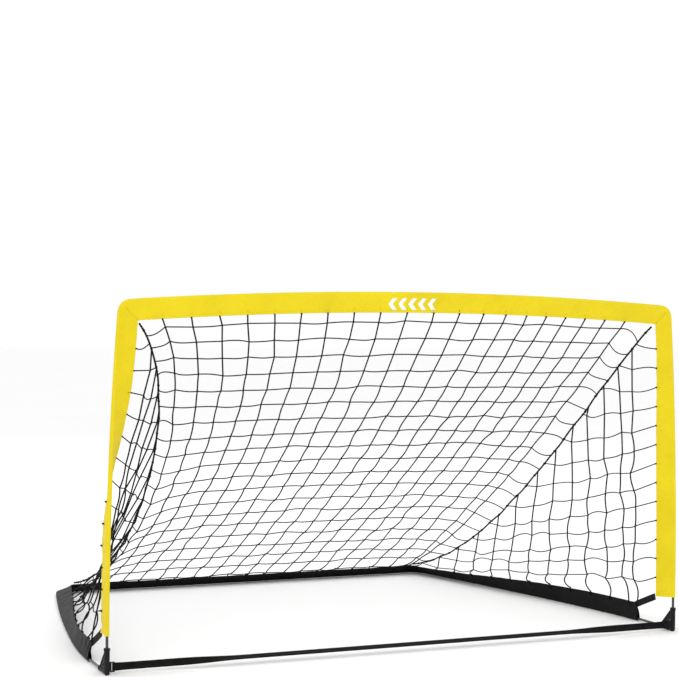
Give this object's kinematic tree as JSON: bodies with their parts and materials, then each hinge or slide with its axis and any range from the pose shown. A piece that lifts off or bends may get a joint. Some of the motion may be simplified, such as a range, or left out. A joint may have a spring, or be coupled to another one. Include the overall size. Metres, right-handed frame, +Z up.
{
  "type": "pop up goal",
  "caption": "Portable ball-game goal: fabric-sleeved pole mouth plugged into corner connectors, U-shaped ground frame, ground strap and sagging back and side nets.",
  "frame": {"origin": "on the ground, at the centre of the goal's footprint", "axes": "+X along the goal line, to the right seen from in front; +Y from the mouth towards the rear pole; +Z up"},
  "size_m": [2.2212, 1.6201, 1.2549],
  "materials": {
    "connector": "moulded black nylon, satin",
    "pole": "pultruded fibreglass rod, dark grey, semi-gloss",
    "ferrule": "drawn tube, satin",
    "elbow": "moulded black nylon",
    "shock_cord": "braided elastic cord",
    "mouth_sleeve": "yellow coated polyester oxford cloth, slightly glossy",
    "ground_sleeve": "black polyester oxford cloth",
    "webbing": "black polypropylene webbing, ribbed weave",
    "net": "black knotted polyethylene twine",
    "seam_cord": "black twisted rope"
  },
  "bodies": {
    "corner_connectors": {"corner_connector_left": "connector", "corner_connector_right": "connector", "ground_strap": "webbing"},
    "ground_frame": {"side_pole_left_front": "pole", "side_pole_left_middle": "pole", "side_pole_left_rear": "pole", "side_pole_right_front": "pole", "side_pole_right_middle": "pole", "side_pole_right_rear": "pole", "side_ferrule_left_front": "ferrule", "side_ferrule_left_rear": "ferrule", "side_ferrule_right_front": "ferrule", "side_ferrule_right_rear": "ferrule", "rear_elbow_left": "elbow", "rear_elbow_right": "elbow", "rear_pole_left": "pole", "rear_pole_middle": "pole", "rear_pole_right": "pole", "rear_ferrule_left": "ferrule", "rear_ferrule_right": "ferrule", "ground_shock_cord": "shock_cord", "base_sleeve_left": "ground_sleeve", "base_sleeve_right": "ground_sleeve", "base_sleeve_rear": "ground_sleeve"},
    "mouth_frame": {"net_back": "net", "net_left": "net", "net_right": "net", "seam_cord_left": "seam_cord", "seam_cord_right": "seam_cord", "upright_pole_left_lower": "pole", "upright_pole_left_upper": "pole", "upright_pole_right_lower": "pole", "upright_pole_right_upper": "pole", "upright_ferrule_left": "ferrule", "upright_ferrule_right": "ferrule", "top_elbow_left": "elbow", "top_elbow_right": "elbow", "crossbar_pole_left": "pole", "crossbar_pole_middle": "pole", "crossbar_pole_right": "pole", "crossbar_ferrule_left": "ferrule", "crossbar_ferrule_right": "ferrule", "mouth_shock_cord": "shock_cord", "upright_sleeve_left": "mouth_sleeve", "upright_sleeve_right": "mouth_sleeve", "crossbar_sleeve": "mouth_sleeve", "tie_strap_left": "webbing", "tie_strap_right": "webbing"}
  },
  "joints": [
    {"name": "mouth_lift", "type": "slide", "parent": "corner_connectors", "child": "mouth_frame", "axis": [0, 0, 1], "range_m": [0, 0.05]},
    {"name": "ground_frame_pull", "type": "slide", "parent": "corner_connectors", "child": "ground_frame", "axis": [0, 1, 0], "range_m": [0, 0.05]}
  ]
}
